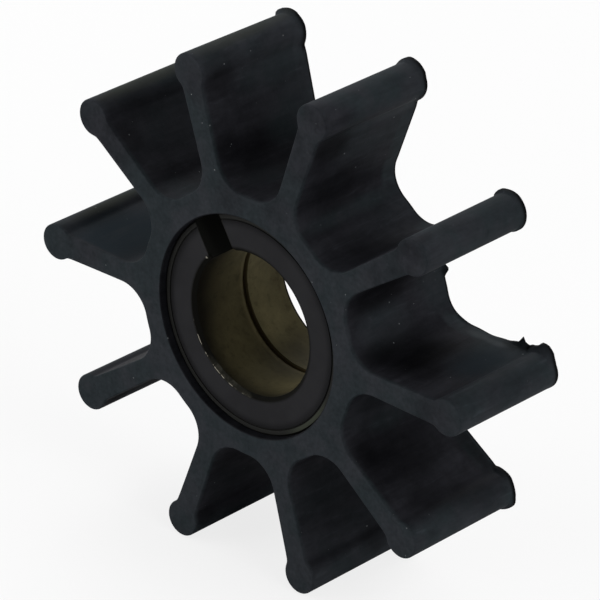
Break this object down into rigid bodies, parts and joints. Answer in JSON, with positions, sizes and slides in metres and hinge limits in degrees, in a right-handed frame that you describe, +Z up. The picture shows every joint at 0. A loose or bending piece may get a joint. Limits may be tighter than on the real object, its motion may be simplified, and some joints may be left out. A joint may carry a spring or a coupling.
{
  "type": "rubber pump impeller",
  "caption": "Flexible rubber vane impeller for a raw water pump, moulded round a bronze bush with a keyed bore.",
  "frame": {"origin": "on the shaft axis, midway along the rubber and the bore", "axes": "+Z up as it stands on two vane tips, -Y out of the drive face along the shaft axis, one vane along +X"},
  "size_m": [0.0974, 0.0248, 0.093],
  "materials": {
    "rubber": "matt moulded black rubber",
    "bronze": "turned bronze, dull, dark coating on the end faces"
  },
  "bodies": {
    "root": {"impeller_body": "rubber", "drive_bush": "bronze"}
  },
  "joints": []
}
